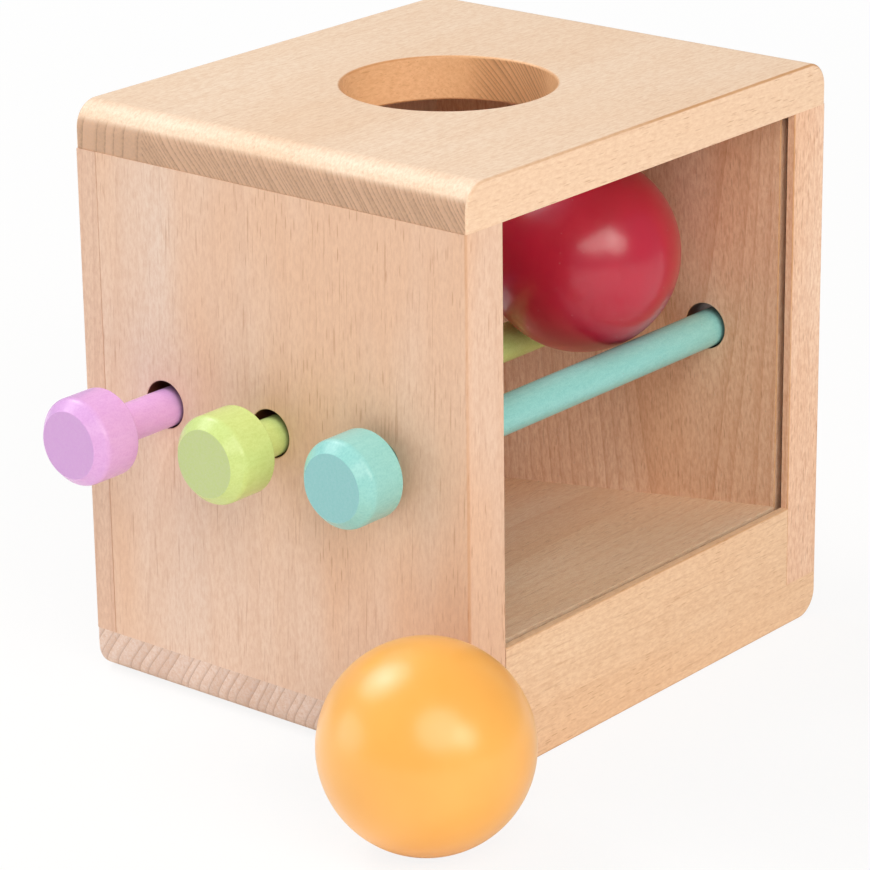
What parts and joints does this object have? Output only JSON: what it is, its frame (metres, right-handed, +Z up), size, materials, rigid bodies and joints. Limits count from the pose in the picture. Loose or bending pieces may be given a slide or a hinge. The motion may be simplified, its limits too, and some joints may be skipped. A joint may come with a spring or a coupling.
{
  "type": "wooden ball puzzle cube",
  "caption": "Beech box with a round ball hole on top, a clear front window, pull-out rods with knobs that hold a ball up inside, a sloping floor and an arched way out at the back.",
  "frame": {"origin": "middle of the bottom board's resting face", "axes": "+Z up, -Y towards the windowed front, -X towards the knobs"},
  "size_m": [0.2062, 0.1651, 0.156],
  "materials": {
    "beech": "sanded and clear oiled, matt",
    "pin_wood": "bare beech",
    "clear_acrylic": "clear, polished",
    "violet_paint": "satin paint on beech",
    "green_paint": "satin paint on beech",
    "teal_paint": "satin paint on beech",
    "red_lacquer": "satin lacquer on beech",
    "orange_lacquer": "satin lacquer on beech"
  },
  "bodies": {
    "box": {"top_board": "beech", "bottom_board": "beech", "left_board": "beech", "right_board": "beech", "back_board": "beech", "front_rail": "beech", "ramp_board": "beech", "front_pane": "clear_acrylic", "top_pin_left_front": "pin_wood", "bottom_pin_left_front": "pin_wood", "top_pin_left_rear": "pin_wood", "bottom_pin_left_rear": "pin_wood", "top_pin_right_front": "pin_wood", "bottom_pin_right_front": "pin_wood", "top_pin_right_rear": "pin_wood", "bottom_pin_right_rear": "pin_wood", "rail_pin_left": "pin_wood", "rail_pin_right": "pin_wood"},
    "violet_puller": {"violet_rod": "violet_paint", "violet_knob": "violet_paint"},
    "green_puller": {"green_rod": "green_paint", "green_knob": "green_paint"},
    "teal_puller": {"teal_rod": "teal_paint", "teal_knob": "teal_paint"},
    "red_ball": {"red_ball": "red_lacquer"},
    "orange_ball": {"orange_ball": "orange_lacquer"}
  },
  "joints": [
    {"name": "violet_slide", "type": "slide", "parent": "box", "child": "violet_puller", "axis": [-1, 0, 0], "range_m": [-0.0213, 0.1134]},
    {"name": "green_slide", "type": "slide", "parent": "box", "child": "green_puller", "axis": [-1, 0, 0], "range_m": [-0.0105, 0.1242]},
    {"name": "teal_slide", "type": "slide", "parent": "box", "child": "teal_puller", "axis": [-1, 0, 0], "range_m": [-0.0042, 0.1305]},
    {"name": "red_ball_roll", "type": "slide", "parent": "box", "child": "red_ball", "axis": [1, 0, 0], "range_m": [-0.0635, 0.0045]},
    {"name": "orange_ball_roll", "type": "slide", "parent": "box", "child": "orange_ball", "axis": [0, -1, 0], "range_m": [-0.12, 0.15]}
  ]
}
